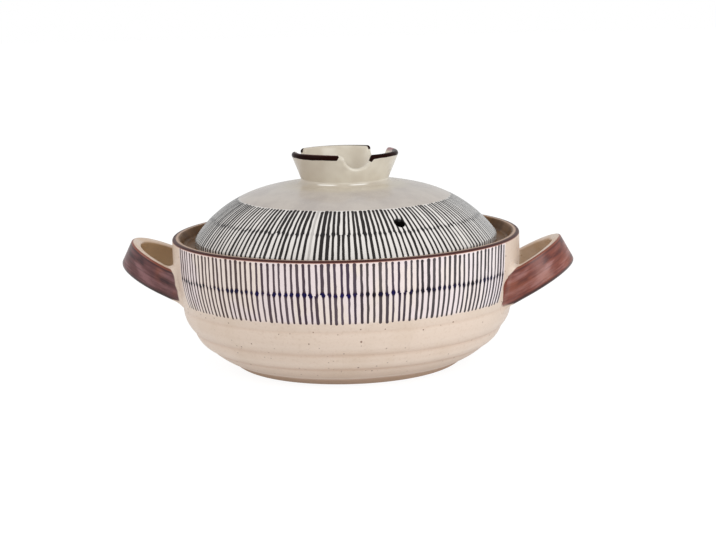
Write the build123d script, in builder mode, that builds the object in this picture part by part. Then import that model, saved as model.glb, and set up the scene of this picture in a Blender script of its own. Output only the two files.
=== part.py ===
from build123d import *

import os
from math import cos, radians, sin

# A two-handled donabe: a thrown stoneware pot with two luted strap handles, and a domed lid that
# rests on a ledge inside the lip, with a steam hole and a notched ring knob.
# Lengths are in millimetres. The origin is the centre of the resting face, +Z is up, X runs
# through the two handles and -Y is the front.

# Pot body
RIM_RADIUS = 125.0
POT_HEIGHT = 94.9
FOOT_RADIUS = 74.5
FOOT_RING_WIDTH = 12.0
FOOT_RECESS_DEPTH = 2.5
FOOT_ROUND = 1.2
FLOOR_THICKNESS = 8.0
WALL_THICKNESS = 8.0
LIP_THICKNESS = 5.2
LIP_ROUND = 1.7

# Throwing ridges: how far each stands out, and where the grooves between them lie, as shares of
# the way from the foot to the rim and of the pot's height
FOOT_BAND_BULGE = 1.3
LOWER_RIDGE_BULGE = 0.9
MIDDLE_RIDGE_BULGE = 1.7
UPPER_RIDGE_BULGE = 2.0
GROOVE_ROUND = 3.0
FOOT_GROOVE_SHARES = (0.200, 0.053)
LOWER_GROOVE_SHARES = (0.530, 0.169)
MIDDLE_GROOVE_SHARES = (0.727, 0.296)
UPPER_GROOVE_SHARES = (0.874, 0.476)
SHOULDER_SHARE = 0.825

# Gallery: the ledge inside the lip that carries the lid
LEDGE_DEPTH = 6.8
LEDGE_WIDTH = 13.0
GALLERY_TAPER = 3.0
GALLERY_ROUND = 2.5
NOSE_HEIGHT = 5.0
NOSE_ROUND = 2.0
NOSE_BLEND = 9.0
CAVITY_TOP_SHARE = 0.72
HEEL_SHARES = (0.885, 0.38)

# Strap handles, one each side
STRAP_WIDTH = 20.9
STRAP_THICKNESS = 7.6
STRAP_REACH = 42.0
LOOP_RADIUS = 38.6
HANDLE_TILT = 28.8
HANDLE_HEIGHT_SHARE = 0.66
HANDLE_INSET = 3.0
ROOT_LENGTH = 25.0
STRAP_TOP_ROUND = 1.4
STRAP_LOWER_ROUND = 3.4
STRAP_INNER_ROUND = 2.2

# Lid
LID_CLEARANCE = 8.0
LID_RISE = 42.9
LID_WALL = 6.2
LID_EDGE_HEIGHT = 5.2
LID_EDGE_ROUND = 2.6
LID_SEAT_WIDTH = 6.6
LID_SEAT_LIP = 3.1
LID_SEAT_ROUND = 1.4
LAND_RADIUS = 38.0

# The dome's crown and shoulder are two arcs that meet at this point, a share of the way out and
# up, where the dome slopes down by this angle
DOME_BREAK_SHARES = (0.552, 0.907)
DOME_BREAK_SLOPE = 14.5

# Steam hole, drilled straight down through the lid
STEAM_HOLE_RADIUS = 4.2
STEAM_HOLE_REACH_SHARE = 0.812
STEAM_HOLE_TURN = -60.6
STEAM_HOLE_ROUND = 0.8

# Knob: a flaring ring with three notches, so that the upturned lid stands as a dish
KNOB_HEIGHT = 22.9
KNOB_RIM_RADIUS = 39.4
KNOB_NECK_RADIUS = 31.4
KNOB_FOOT_RADIUS = 37.2
KNOB_NECK_HEIGHT = 3.3
KNOB_COVE_RADIUS = 7.2
KNOB_WALL = 5.2
KNOB_RIM_ROUND = 2.3
NOTCH_COUNT = 3
NOTCH_RADIUS = 9.8
NOTCH_DEPTH = 9.4
NOTCH_ROUND = 1.6
NOTCH_TURN = -72.4

# Every cut runs this far past the clay that it goes through
OVERRUN = 5.0

# Sizes that follow from the ones above
foot_inner_radius = FOOT_RADIUS - FOOT_RING_WIDTH
lip_inner_radius = RIM_RADIUS - LIP_THICKNESS
ledge_outer_radius = lip_inner_radius - GALLERY_TAPER
ledge_inner_radius = ledge_outer_radius - LEDGE_WIDTH
ledge_z = POT_HEIGHT - LEDGE_DEPTH
shoulder_z = POT_HEIGHT * SHOULDER_SHARE
floor_z = FOOT_RECESS_DEPTH + FLOOR_THICKNESS
cavity_radius = RIM_RADIUS - WALL_THICKNESS
cavity_top_z = POT_HEIGHT * CAVITY_TOP_SHARE
lid_radius = ledge_outer_radius - LID_CLEARANCE
hollow_radius = lid_radius - LID_SEAT_WIDTH
land_z = ledge_z + LID_RISE
knob_top_z = land_z + KNOB_HEIGHT
knob_mouth_radius = KNOB_RIM_RADIUS - KNOB_WALL
knob_bore_radius = KNOB_NECK_RADIUS - KNOB_WALL
steam_hole_reach = lid_radius * STEAM_HOLE_REACH_SHARE


def wall_point(shares):
    """A point of the pot's outline: shares of the way from foot to rim, and of its height."""
    out_share, up_share = shares
    return (FOOT_RADIUS + (RIM_RADIUS - FOOT_RADIUS) * out_share, POT_HEIGHT * up_share)


foot_edge = (FOOT_RADIUS, 0)
foot_groove = wall_point(FOOT_GROOVE_SHARES)
lower_groove = wall_point(LOWER_GROOVE_SHARES)
middle_groove = wall_point(MIDDLE_GROOVE_SHARES)
upper_groove = wall_point(UPPER_GROOVE_SHARES)
shoulder = (RIM_RADIUS, shoulder_z)


def draw_ridged_wall():
    """The pot's outer outline: a foot band, three throwing ridges, and the wall up to the shoulder."""
    SagittaArc(foot_edge, foot_groove, -FOOT_BAND_BULGE)
    SagittaArc(foot_groove, lower_groove, -LOWER_RIDGE_BULGE)
    SagittaArc(lower_groove, middle_groove, -MIDDLE_RIDGE_BULGE)
    SagittaArc(middle_groove, upper_groove, -UPPER_RIDGE_BULGE)
    TangentArc(shoulder, upper_groove, tangent=(0, -1))


# The pot body is one turned profile: foot, ridges, wall, lip, gallery and cavity
with BuildPart() as pot_body:
    with BuildSketch(Plane.XZ) as pot_profile:
        with BuildLine():
            FilletPolyline(
                (0, FOOT_RECESS_DEPTH),
                (foot_inner_radius - FOOT_RECESS_DEPTH, FOOT_RECESS_DEPTH),
                (foot_inner_radius, 0),
                foot_edge,
                radius=FOOT_ROUND,
            )
            draw_ridged_wall()
            nose_foot = (cavity_radius, cavity_top_z)
            FilletPolyline(
                shoulder,
                (RIM_RADIUS, POT_HEIGHT),
                (lip_inner_radius, POT_HEIGHT),
                (ledge_outer_radius, ledge_z),
                (ledge_inner_radius, ledge_z),
                (ledge_inner_radius, ledge_z - NOSE_HEIGHT),
                nose_foot,
                radius=(LIP_ROUND, LIP_ROUND, GALLERY_ROUND, NOSE_ROUND, NOSE_ROUND),
            )
            heel_out, heel_up = HEEL_SHARES
            heel_rise = (cavity_top_z - floor_z) * heel_up
            heel_top = (cavity_radius * heel_out, floor_z + heel_rise)
            bowl_side = TangentArc(nose_foot, heel_top, tangent=(0, -1))
            heel_slope = (bowl_side % 1).get_angle(Vector(-1, 0))
            heel_radius = heel_rise / (1 - cos(radians(heel_slope)))
            heel = JernArc(bowl_side @ 1, bowl_side % 1, heel_radius, -heel_slope)
            Polyline(heel @ 1, (0, floor_z), (0, FOOT_RECESS_DEPTH))
        make_face()
        fillet(pot_profile.vertices().sort_by_distance(foot_edge)[0], FOOT_ROUND)
        fillet(pot_profile.vertices().sort_by_distance(nose_foot)[0], NOSE_BLEND)
        for groove in (foot_groove, lower_groove, middle_groove, upper_groove):
            fillet(pot_profile.vertices().sort_by_distance(groove)[0], GROOVE_ROUND)
    revolve(axis=Axis.Z)
pot_body.part.label = "pot_body"

# The clay inside the pot's outer surface, which trims the handles' roots to that surface
with BuildPart() as wall_envelope:
    with BuildSketch(Plane.XZ):
        with BuildLine():
            draw_ridged_wall()
            Polyline(shoulder, (RIM_RADIUS, POT_HEIGHT), (0, POT_HEIGHT), (0, 0), foot_edge)
        make_face()
    revolve(axis=Axis.Z)

# A handle is a strap bent into a half loop in a plane that tilts up and outward
tilt = radians(HANDLE_TILT)
loop_plane = Plane(
    origin=(RIM_RADIUS - HANDLE_INSET, 0, POT_HEIGHT * HANDLE_HEIGHT_SHARE),
    x_dir=(cos(tilt), 0, sin(tilt)),
    z_dir=(-sin(tilt), 0, cos(tilt)),
)
strap_path_radius = LOOP_RADIUS - STRAP_THICKNESS / 2
loop_centre = STRAP_REACH - LOOP_RADIUS

with BuildPart() as handle_right:
    with BuildLine(loop_plane) as strap_path:
        front_leg = Line((-ROOT_LENGTH, -strap_path_radius), (loop_centre, -strap_path_radius))
        bend = CenterArc((loop_centre, 0), strap_path_radius, -90, 180)
        Line(bend @ 1, (-ROOT_LENGTH, strap_path_radius))
    with BuildSketch(Plane(front_leg @ 0, x_dir=loop_plane.z_dir, z_dir=front_leg % 0)) as strap_section:
        Rectangle(STRAP_WIDTH, STRAP_THICKNESS)
        inner_corners = strap_section.vertices().group_by(Axis.Y)[-1]
        outer_corners = strap_section.vertices().group_by(Axis.Y)[0].sort_by(Axis.Z)
        fillet(inner_corners, STRAP_INNER_ROUND)
        fillet(outer_corners[-1], STRAP_TOP_ROUND)
        fillet(outer_corners[0], STRAP_LOWER_ROUND)
    sweep(path=strap_path.wires()[0])
    add(wall_envelope.part, mode=Mode.SUBTRACT)
handle_right.part.label = "handle_right"

with BuildPart() as handle_left:
    add(handle_right.part)
    mirror(about=Plane.YZ, mode=Mode.REPLACE)
handle_left.part.label = "handle_left"

# The lid is turned from one profile too, then its steam hole is drilled
break_out, break_up = DOME_BREAK_SHARES
dome_break = Vector(lid_radius * break_out, ledge_z + LID_RISE * break_up)
break_tangent = Vector(1, 0).rotate(Axis.Z, -DOME_BREAK_SLOPE)
hollow_break = dome_break - Vector(0, LID_WALL).rotate(Axis.Z, -DOME_BREAK_SLOPE)
edge_top = (lid_radius, ledge_z + LID_EDGE_HEIGHT)
hollow_edge = (hollow_radius, ledge_z + LID_SEAT_LIP)

with BuildPart() as lid_dome:
    with BuildSketch(Plane.XZ) as lid_profile:
        with BuildLine():
            TangentArc(dome_break, (LAND_RADIUS, land_z), tangent=-break_tangent)
            TangentArc(dome_break, edge_top, tangent=break_tangent)
            Polyline(edge_top, (lid_radius, ledge_z), (hollow_radius, ledge_z), hollow_edge)
            TangentArc(hollow_break, hollow_edge, tangent=break_tangent)
            hollow_crown = TangentArc(hollow_break, (LAND_RADIUS, land_z - LID_WALL), tangent=-break_tangent)
            Polyline(hollow_crown @ 1, (0, land_z - LID_WALL), (0, land_z), (LAND_RADIUS, land_z))
        make_face()
        fillet(lid_profile.vertices().sort_by_distance(edge_top)[0], LID_EDGE_ROUND)
        fillet(lid_profile.vertices().sort_by_distance(hollow_edge)[0], LID_EDGE_ROUND)
        fillet(lid_profile.vertices().group_by(Axis.Y)[0], LID_SEAT_ROUND)
    revolve(axis=Axis.Z)
    with BuildSketch(Plane.XY.offset(ledge_z)):
        with PolarLocations(steam_hole_reach, 1, start_angle=STEAM_HOLE_TURN):
            Circle(STEAM_HOLE_RADIUS)
    extrude(amount=LID_RISE + OVERRUN, mode=Mode.SUBTRACT)
    hole_wall = lid_dome.faces().filter_by(GeomType.CYLINDER).sort_by(SortBy.RADIUS)[0]
    fillet(hole_wall.edges().sort_by(Axis.Z)[-1], STEAM_HOLE_ROUND)
lid_dome.part.label = "lid_dome"

# The knob stands on the flat land at the top of the dome
with BuildPart() as lid_knob:
    with BuildSketch(Plane.XZ) as knob_profile:
        with BuildLine():
            foot_outer = (KNOB_FOOT_RADIUS, land_z)
            neck = (KNOB_NECK_RADIUS, land_z + KNOB_NECK_HEIGHT)
            rim_outer = (KNOB_RIM_RADIUS, knob_top_z)
            rim_inner = (knob_mouth_radius, knob_top_z)
            RadiusArc(foot_outer, neck, KNOB_COVE_RADIUS)
            Polyline(neck, rim_outer, rim_inner, (knob_bore_radius, land_z), foot_outer)
        make_face()
        fillet(knob_profile.vertices().group_by(Axis.Y)[-1], KNOB_RIM_ROUND)
    revolve(axis=Axis.Z)
    with Locations((0, 0, knob_top_z - NOTCH_DEPTH + NOTCH_RADIUS)):
        with PolarLocations(0, NOTCH_COUNT, start_angle=NOTCH_TURN):
            Cylinder(
                NOTCH_RADIUS,
                KNOB_RIM_RADIUS + OVERRUN,
                rotation=(0, 90, 0),
                align=(Align.CENTER, Align.CENTER, Align.MIN),
                mode=Mode.SUBTRACT,
            )
    fillet(lid_knob.faces().filter_by(GeomType.CYLINDER).edges(), NOTCH_ROUND)
lid_knob.part.label = "lid_knob"

os.makedirs("parts", exist_ok=True)
export_step(pot_body.part, "parts/pot_body.step")
export_step(handle_left.part, "parts/handle_left.step")
export_step(handle_right.part, "parts/handle_right.step")
export_step(lid_dome.part, "parts/lid_dome.step")
export_step(lid_knob.part, "parts/lid_knob.step")
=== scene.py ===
"""A donabe: a striped stoneware pot, two brown strap handles, and a lid with a ring knob."""

from functools import partialmethod
from math import cos, pi, radians, sin

import bmesh
import bpy
import numpy as np
from mathutils import Matrix, Vector


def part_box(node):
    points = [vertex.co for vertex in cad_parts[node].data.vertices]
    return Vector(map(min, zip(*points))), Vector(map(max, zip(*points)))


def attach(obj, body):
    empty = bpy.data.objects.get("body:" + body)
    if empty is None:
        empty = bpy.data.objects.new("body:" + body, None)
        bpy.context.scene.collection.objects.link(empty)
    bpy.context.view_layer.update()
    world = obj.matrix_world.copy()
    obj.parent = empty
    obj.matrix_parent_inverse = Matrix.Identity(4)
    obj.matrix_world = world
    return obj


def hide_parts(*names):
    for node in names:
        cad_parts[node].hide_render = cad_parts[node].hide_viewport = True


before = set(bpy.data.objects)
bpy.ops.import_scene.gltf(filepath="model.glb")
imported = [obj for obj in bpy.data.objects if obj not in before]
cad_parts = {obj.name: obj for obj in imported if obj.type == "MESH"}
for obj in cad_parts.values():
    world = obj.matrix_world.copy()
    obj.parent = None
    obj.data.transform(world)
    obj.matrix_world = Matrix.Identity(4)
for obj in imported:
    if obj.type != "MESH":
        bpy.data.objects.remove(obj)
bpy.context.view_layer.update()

# Lengths are in millimetres, and angles in degrees, until they reach Blender
MM = 0.001

# The CAD model's main sizes
rim_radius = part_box("pot_body")[1].x / MM
ledge_z, land_z = (corner.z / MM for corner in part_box("lid_dome"))
knob_top_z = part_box("lid_knob")[1].z / MM

# Meshes
TURN_STEPS = 384
TURN_ANGLES = np.arange(TURN_STEPS) * 2 * pi / TURN_STEPS
PROFILE_STEP = 1.5
POT_CORNER_TURN = 55.0
LID_CORNER_TURN = 30.0
SEAM_TOLERANCE = 0.01
INNER_WALL_MARGIN = 2.0
LEDGE_MARGIN = 0.2

# Camera, fitted to the photograph's outlines
CAMERA_PLACE = (118.0, -1322.5, 303.7)
CAMERA_TARGET = (0.0, 0.0, 60.0)
CAMERA_AIM_SHIFT = (8.2, 6.4)
CAMERA_ROLL = 1.441
CAMERA_LENS = 93.46
CAMERA_SENSOR = 36.0
CAMERA_NEAR = 50.0

# Pot: how far the wet clay leaned out on its right while it was thrown
LEAN_OUT = 0.7
LEAN_LOW_Z = 10.0
LEAN_HIGH_Z = 30.0

# Handles: the two were pulled and set by hand, so each has its own tilt, width and height
STRAP_THICKNESS = 7.6
STRAP_REACH = 42.8
LOOP_RADIUS = 38.6
HANDLE_INSET = 3.0
HANDLE_TILTS = {"left": 26.4, "right": 29.2}
STRAP_WIDTHS = {"left": 20.1, "right": 21.9}
HANDLE_HEIGHTS = {"left": 63.8, "right": 60.8}
STRAP_TOP_ROUND = 1.4
STRAP_LOWER_ROUND = 3.4
STRAP_INNER_ROUND = 2.2
LUTING_RADIUS = 6.0
LUTING_STEPS = 8
STRAP_STEPS = 120
SECTION_STEP = 1.1
SECTION_ARC_STEPS = 7
ROOT_SINK = 1.5

# Where along the strap it can meet the wall, and how often that span is halved to find where
ROOT_SEARCH = (20.0, 90.0)
ROOT_SEARCH_TRIES = 30

# Steam hole, and the rings that lead to it from the grid, round its edge and out again below
STEAM_HOLE_RADIUS = 3.6
STEAM_HOLE_REACH = 88.3
STEAM_HOLE_TURN = -60.6
STEAM_HOLE_ROUND = 1.4
HOLE_PATCH_CELLS = 10
HOLE_OUTER_SHARES = (0.35, 0.65, 0.85, 1.0)
HOLE_EDGE_TURNS = (30.0, 60.0, 90.0)
HOLE_INNER_SHARES = (1.0, 0.85, 0.6, 0.3)
HOLE_FOOT_RISE = 0.6
HOLE_RUN = 20.0

# The lid sits a little askew, higher on its left, and its knob leans to the right
LID_TILT = 0.4
LID_TILT_LOW_Z = 92.0
LID_TILT_HIGH_Z = 106.0
KNOB_LEAN = 0.022
KNOB_TURN = 1.8

# The knob's front notch, and the hand-worn slope of the rim on its left
FRONT_NOTCH_TURN = -70.6
NOTCH_SLOPE_TURNS = (-22.0, -12.0)
NOTCH_SLOPE_DROP = 1.5
NOTCH_SLOPE_HEIGHT = 6.0

# The rim's slight rise on the left of that slope
RIM_RISE_TURN = -42.0
RIM_RISE_REACH = 38.0
RIM_RISE = 0.6

# Knob, and the cove at its foot
KNOB_MERGE = 0.001
KNOB_VOXEL = 0.4
KNOB_SMOOTHING = 6
COVE_TOP_RADIUS = 30.9
COVE_FOOT_RADIUS = 38.6
COVE_HEIGHT = 3.6
COVE_SINK = 1.2
COVE_OVERLAP = 2.0
COVE_STEPS = 10


def seam_outline(node):
    """The outline of a turned CAD node at its seam, as ordered points (radius, height)."""
    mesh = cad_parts[node].data
    places = {}
    for vertex in mesh.vertices:
        x, y, z = vertex.co / MM
        if abs(y) < SEAM_TOLERANCE and x > 0:
            places[vertex.index] = (round(x, 3), round(z, 3))
    links = {place: set() for place in places.values()}
    for edge in mesh.edges:
        first, second = (places.get(index) for index in edge.vertices)
        if first and second and first != second:
            links[first].add(second)
            links[second].add(first)
    ends = [place for place in links if len(links[place]) < 2]
    here = min(ends, key=lambda place: (place[0], -place[1]))
    walk = [here]
    left = set(links) - {here}
    while left:
        near = [place for place in links[here] if place in left]
        flat = [place for place in left if place[1] == here[1]]
        if not near and not flat:
            break
        here = min(near or flat, key=lambda place: abs(place[0] - here[0]))
        walk.append(here)
        left.remove(here)
    return np.array(walk)


def smooth_profile(points, corner_turn):
    """The outline through these points, rounded between them and kept sharp at its corners, which
    turn by more than this angle."""
    runs = np.diff(points, axis=0)
    lengths = np.linalg.norm(runs, axis=1)
    heads = runs / lengths[:, None]
    stations = [points[0]]
    for i, length in enumerate(lengths):
        start, end = points[i], points[i + 1]
        start_head, end_head = heads[i], heads[i]
        if i > 0 and heads[i - 1] @ heads[i] > cos(radians(corner_turn)):
            start_head = (end - points[i - 1]) / np.linalg.norm(end - points[i - 1])
        if i + 1 < len(heads) and heads[i + 1] @ heads[i] > cos(radians(corner_turn)):
            end_head = (points[i + 2] - start) / np.linalg.norm(points[i + 2] - start)
        pieces = max(2, round(length / PROFILE_STEP))
        for t in np.linspace(0, 1, pieces + 1)[1:]:
            stations.append(
                (2 * t**3 - 3 * t**2 + 1) * start
                + (t**3 - 2 * t**2 + t) * length * start_head
                + (3 * t**2 - 2 * t**3) * end
                + (t**3 - t**2) * length * end_head
            )
    return np.array(stations)


def put(name, data):
    """A new object of the scene, with this mesh, lamp or camera."""
    thing = bpy.data.objects.new(name, data)
    bpy.context.scene.collection.objects.link(thing)
    return thing


def new_piece(name, vertices, faces, body, material, node, marks):
    """A smooth-shaded mesh, from vertices in millimetres, that stands for a CAD node. Its marks are
    numbers at the vertices, which its material reads by name."""
    mesh = bpy.data.meshes.new(name)
    mesh.from_pydata([tuple(Vector(vertex) * MM) for vertex in vertices], [], faces)
    build = bmesh.new()
    build.from_mesh(mesh)
    bmesh.ops.recalc_face_normals(build, faces=build.faces)
    build.to_mesh(mesh)
    build.free()
    mesh.shade_smooth()
    piece = put(name, mesh)
    mesh.materials.append(material)
    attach(piece, body)
    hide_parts(node)
    for label, values in marks.items():
        layer = mesh.attributes.new(label, "FLOAT", "POINT")
        layer.data.foreach_set("value", np.array(values, np.float32))
    return piece


def quads_between(rings):
    """The quads between each closed ring of corners and the next one."""
    quads = []
    for ring, following in zip(rings, rings[1:]):
        for k in range(len(ring)):
            after = (k + 1) % len(ring)
            quads.append((ring[k], ring[after], following[after], following[k]))
    return quads


def turned_grid(stations, bend=None):
    """Vertices and faces of a turned outline whose ends close on the axis. bend changes its radii."""
    radius, height = (np.repeat(stations[:, i, None], TURN_STEPS, axis=1) for i in (0, 1))
    if bend is not None:
        radius = bend(radius, height, TURN_ANGLES)
    places = np.stack([radius * np.cos(TURN_ANGLES), radius * np.sin(TURN_ANGLES), height], axis=2)
    vertices = [tuple(place) for place in places.reshape(-1, 3)]
    rings = np.arange(len(vertices)).reshape(-1, TURN_STEPS).tolist()
    faces = dict(enumerate(quads_between(rings)))
    for ring in (rings[0], rings[-1]):
        centre = len(vertices)
        vertices.append((0.0, 0.0, vertices[ring[0]][2]))
        for j in range(TURN_STEPS):
            faces[len(faces)] = (centre, ring[j], ring[(j + 1) % TURN_STEPS])
    return vertices, faces


def runs_along(stations, zero):
    """How far each vertex of a turned grid lies along its outline from the station zero."""
    steps = np.linalg.norm(np.diff(stations, axis=0), axis=1)
    runs = np.concatenate([[0.0], np.cumsum(steps)])
    runs -= runs[zero]
    return list(np.repeat(runs, TURN_STEPS)) + [runs[0], runs[-1]]


def lean(radius, height, angles):
    """The thrown wall stands out a little further on its right, low down."""
    low = np.clip((height - LEAN_LOW_Z / 2) / (LEAN_LOW_Z / 2), 0, 1)
    high = np.clip((LEAN_HIGH_Z + LEAN_LOW_Z - height) / LEAN_LOW_Z, 0, 1)
    outside = radius > np.interp(height, *inner_wall)
    return radius + LEAN_OUT * low * high * outside * (0.5 + 0.5 * np.cos(angles))


def askew(vertices):
    """The lid's points, in millimetres, moved as the thrown and hand-set lid stands."""
    x, y, z = np.array(vertices, float).T
    share = np.clip((z - LID_TILT_LOW_Z) / (LID_TILT_HIGH_Z - LID_TILT_LOW_Z), 0, 1)
    turn = sin(radians(LID_TILT)) * share
    lean_out = KNOB_LEAN * np.maximum(z - land_z, 0)
    return np.stack([x + turn * (z - ledge_z) + lean_out, y, z - turn * x], axis=1)


class Field:
    """A number at each point of a surface: a node socket that adds and multiplies like a number."""

    def __init__(self, tree, socket):
        self.tree = tree
        self.socket = socket

    def math(self, operation, *others):
        node = self.tree.nodes.new("ShaderNodeMath")
        node.operation = operation
        for socket, value in zip(node.inputs, (self, *others)):
            feed(self.tree, socket, value)
        return Field(self.tree, node.outputs[0])

    __add__ = partialmethod(math, "ADD")
    __sub__ = partialmethod(math, "SUBTRACT")
    __mul__ = partialmethod(math, "MULTIPLY")
    __truediv__ = partialmethod(math, "DIVIDE")
    __gt__ = partialmethod(math, "GREATER_THAN")
    __lt__ = partialmethod(math, "LESS_THAN")
    __abs__ = partialmethod(math, "ABSOLUTE")

    def __neg__(self):
        return self * -1.0

    def __rsub__(self, other):
        return -self + other

    def ramp(self, low, high):
        """0 at low, 1 at high, and smooth between them. Low can be the greater of the two."""
        node = self.tree.nodes.new("ShaderNodeMapRange")
        node.interpolation_type = "SMOOTHSTEP"
        starts, ends = ((low, 0.0), (high, 1.0)) if low < high else ((high, 1.0), (low, 0.0))
        feed(self.tree, node.inputs["Value"], self)
        for name, value in zip(("From Min", "To Min", "From Max", "To Max"), starts + ends):
            node.inputs[name].default_value = value
        return Field(self.tree, node.outputs["Result"])

    def step(self, edge, softness):
        """0 below the edge and 1 above it, or 1 and 0 where the softness is negative."""
        return self.ramp(edge - softness, edge + softness)


def feed(tree, socket, value):
    """Links a field or a socket to this input, or sets a plain number or colour there."""
    if isinstance(value, Field):
        tree.links.new(value.socket, socket)
    elif isinstance(value, bpy.types.NodeSocket):
        tree.links.new(value, socket)
    else:
        socket.default_value = value


def colour(red, green, blue):
    """A colour given in sRGB, 0 to 255, as Blender's linear one."""
    shares = [value / 255 for value in (red, green, blue)]
    return tuple(s / 12.92 if s <= 0.04045 else ((s + 0.055) / 1.055) ** 2.4 for s in shares) + (1.0,)


class Surface:
    """A material whose finish is written as fields over the object's own space, in millimetres."""

    def __init__(self, name):
        self.material = bpy.data.materials.new(name)
        self.material.use_nodes = True
        self.tree = self.material.node_tree
        self.shader = self.tree.nodes["Principled BSDF"]
        place = self.node("TexCoord").outputs["Object"]
        scaled = self.node("VectorMath")
        scaled.operation = "SCALE"
        self.tree.links.new(place, scaled.inputs[0])
        scaled.inputs["Scale"].default_value = 1 / MM
        self.place = scaled.outputs[0]
        self.x, self.y, self.z = self.parts(self.place, "SeparateXYZ")
        self.radius = (self.x * self.x + self.y * self.y).math("SQRT")

    def node(self, kind):
        return self.tree.nodes.new("ShaderNode" + kind)

    def parts(self, socket, kind="SeparateColor"):
        """The three numbers of a colour or a place, as fields."""
        node = self.node(kind)
        self.tree.links.new(socket, node.inputs[0])
        return [Field(self.tree, part) for part in node.outputs]

    def vector(self, x, y, z):
        node = self.node("CombineXYZ")
        for socket, value in zip(node.inputs, (x, y, z)):
            feed(self.tree, socket, value)
        return node.outputs[0]

    def noise(self, scale, detail=2.0, vector=None):
        """Noise from about 0 to 1, whose lumps are about 1 / scale wide."""
        node = self.node("TexNoise")
        feed(self.tree, node.inputs["Vector"], vector or self.place)
        node.inputs["Scale"].default_value = scale
        node.inputs["Detail"].default_value = detail
        return Field(self.tree, node.outputs["Fac"])

    def drift(self, index, pace, row):
        """Noise that drifts from stripe to stripe, at this pace, in a row of its own."""
        return self.noise(1.0, 1.0, self.vector(index * pace, row, 0.0))

    def chances(self, first, second):
        """Three random numbers from 0 to 1 that are steady for the same two keys."""
        node = self.node("TexWhiteNoise")
        node.noise_dimensions = "3D"
        self.tree.links.new(self.vector(first, second, 0.5), node.inputs["Vector"])
        return self.parts(node.outputs["Color"])

    def attribute(self, name):
        node = self.node("Attribute")
        node.attribute_name = name
        return Field(self.tree, node.outputs["Fac"])

    def mix(self, first, second, share):
        """From the first colour to the second, as the share goes from 0 to 1."""
        node = self.node("Mix")
        node.data_type = "RGBA"
        feed(self.tree, node.inputs["Factor"], share)
        feed(self.tree, node.inputs[6], first)
        feed(self.tree, node.inputs[7], second)
        return node.outputs[2]

    def finish(self, base, roughness, gloss, relief, relief_height):
        """Ends the material: its colour, roughness, gloss, and fine relief in millimetres."""
        feed(self.tree, self.shader.inputs["Base Color"], base)
        feed(self.tree, self.shader.inputs["Roughness"], roughness)
        feed(self.tree, self.shader.inputs["Specular IOR Level"], gloss)
        bump = self.node("Bump")
        bump.inputs["Distance"].default_value = relief_height * MM
        feed(self.tree, bump.inputs["Height"], relief)
        self.tree.links.new(bump.outputs[0], self.shader.inputs["Normal"])
        return self.material


# The pot's cream with its clouds, grain and specks, the painted shade of its foot, and the painted
# shade, thin glaze and painted highlights of its throwing grooves
CREAM = colour(219, 200, 184)
CREAM_CLOUD = colour(204, 183, 162)
CREAM_GRAIN = colour(196, 172, 152)
IRON_SPECK = colour(100, 66, 46)
FOOT_SHADE = colour(184, 158, 136)
FOOT_TAN = colour(172, 144, 122)
GROOVE_SHADE_TAN = colour(176, 136, 106)
GROOVE_CREST_HIGHLIGHT = colour(242, 229, 216)

# The white slip of its panels, and the ink on it
SLIP_ROSE = colour(231, 217, 218)
SLIP_WARM = colour(233, 219, 210)
SLIP_COOL = colour(234, 226, 230)
SLIP_TOP = colour(236, 210, 202)
INK_LEFT = colour(60, 40, 38)
INK_RIGHT = colour(40, 34, 40)
INK_VIOLET = colour(46, 26, 60)
DROP_BLACK = colour(14, 10, 20)
DROP_BLUE = colour(16, 8, 74)

# Its lip, from the line under it to its tan inner edge, and its glazed inside
LIP_LINE = colour(140, 78, 62)
LIP_BROWN = colour(72, 42, 39)
LIP_TAN = colour(180, 152, 132)
INSIDE_BROWN = colour(120, 86, 52)
INSIDE_DARK = colour(94, 64, 36)

# The handles: the main brown, dark pools and light runs on each side, and what both share
HANDLE_BROWNS = {
    "left": (colour(96, 58, 58), colour(54, 28, 32), colour(138, 98, 100)),
    "right": (colour(122, 64, 52), colour(80, 36, 33), colour(160, 112, 106)),
}
HANDLE_RUST = colour(150, 84, 58)
HANDLE_LINE = colour(134, 72, 54)
HANDLE_LOWER = colour(44, 22, 22)
HANDLE_EDGE = colour(206, 176, 146)
HANDLE_INSIDE = colour(158, 130, 98)

# The lid's crown, slip and ink, the painted reflection that greys its slip at the sides, its bare rim,
# and the painted shade in the steam hole
CROWN_GREY = colour(190, 181, 172)
CROWN_SHADE = colour(176, 167, 160)
CROWN_GRAIN = colour(202, 192, 186)
LID_SLIP = colour(232, 227, 222)
LID_SLIP_REFLECTION = colour(196, 196, 194)
LID_INK = colour(26, 22, 22)
LID_DROP_INK = colour(10, 9, 15)
BARE_CLAY = colour(176, 150, 124)
HOLE_SHADE_BLACK = colour(16, 13, 12)

# The knob's cream with painted shade on its left, the painted shade in the cove at its foot with
# painted highlights in it, and its brown rim
KNOB_CREAM = colour(218, 210, 194)
KNOB_CLOUD = colour(204, 194, 177)
KNOB_LEFT_SHADE = colour(188, 175, 158)
COVE_SHADE = colour(184, 173, 158)
GLINT_WHITE = colour(252, 249, 242)
BAND_BLACK = colour(30, 10, 7)
BAND_BROWN = colour(70, 42, 38)
BAND_MAUVE = colour(172, 138, 140)

# Brush strokes: how far they stray sideways, lean in each millimetre, wave, and fall short
STROKE_STRAY = 0.65
STROKE_LEAN = 0.026
STROKE_WAVE = 0.6
STROKE_END_STRAY = 0.8

# How fast strokes wave along their length, and what drifts from stripe to stripe in the noise
WAVE_PACE, WAVE_APART, WAVE_ROW = 0.13, 7.3, 5.0
JOINT_PACE, JOINT_ROW = 0.13, 2.0
JOINT_CHANCE_SHARE, JOINT_DRIFT_SHARE = 0.6, 2.0
LOAD_PACE, LOAD_ROW = 0.31, 9.0
BLUE_PACE, BLUE_ROW = 0.11, 40.0

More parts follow.
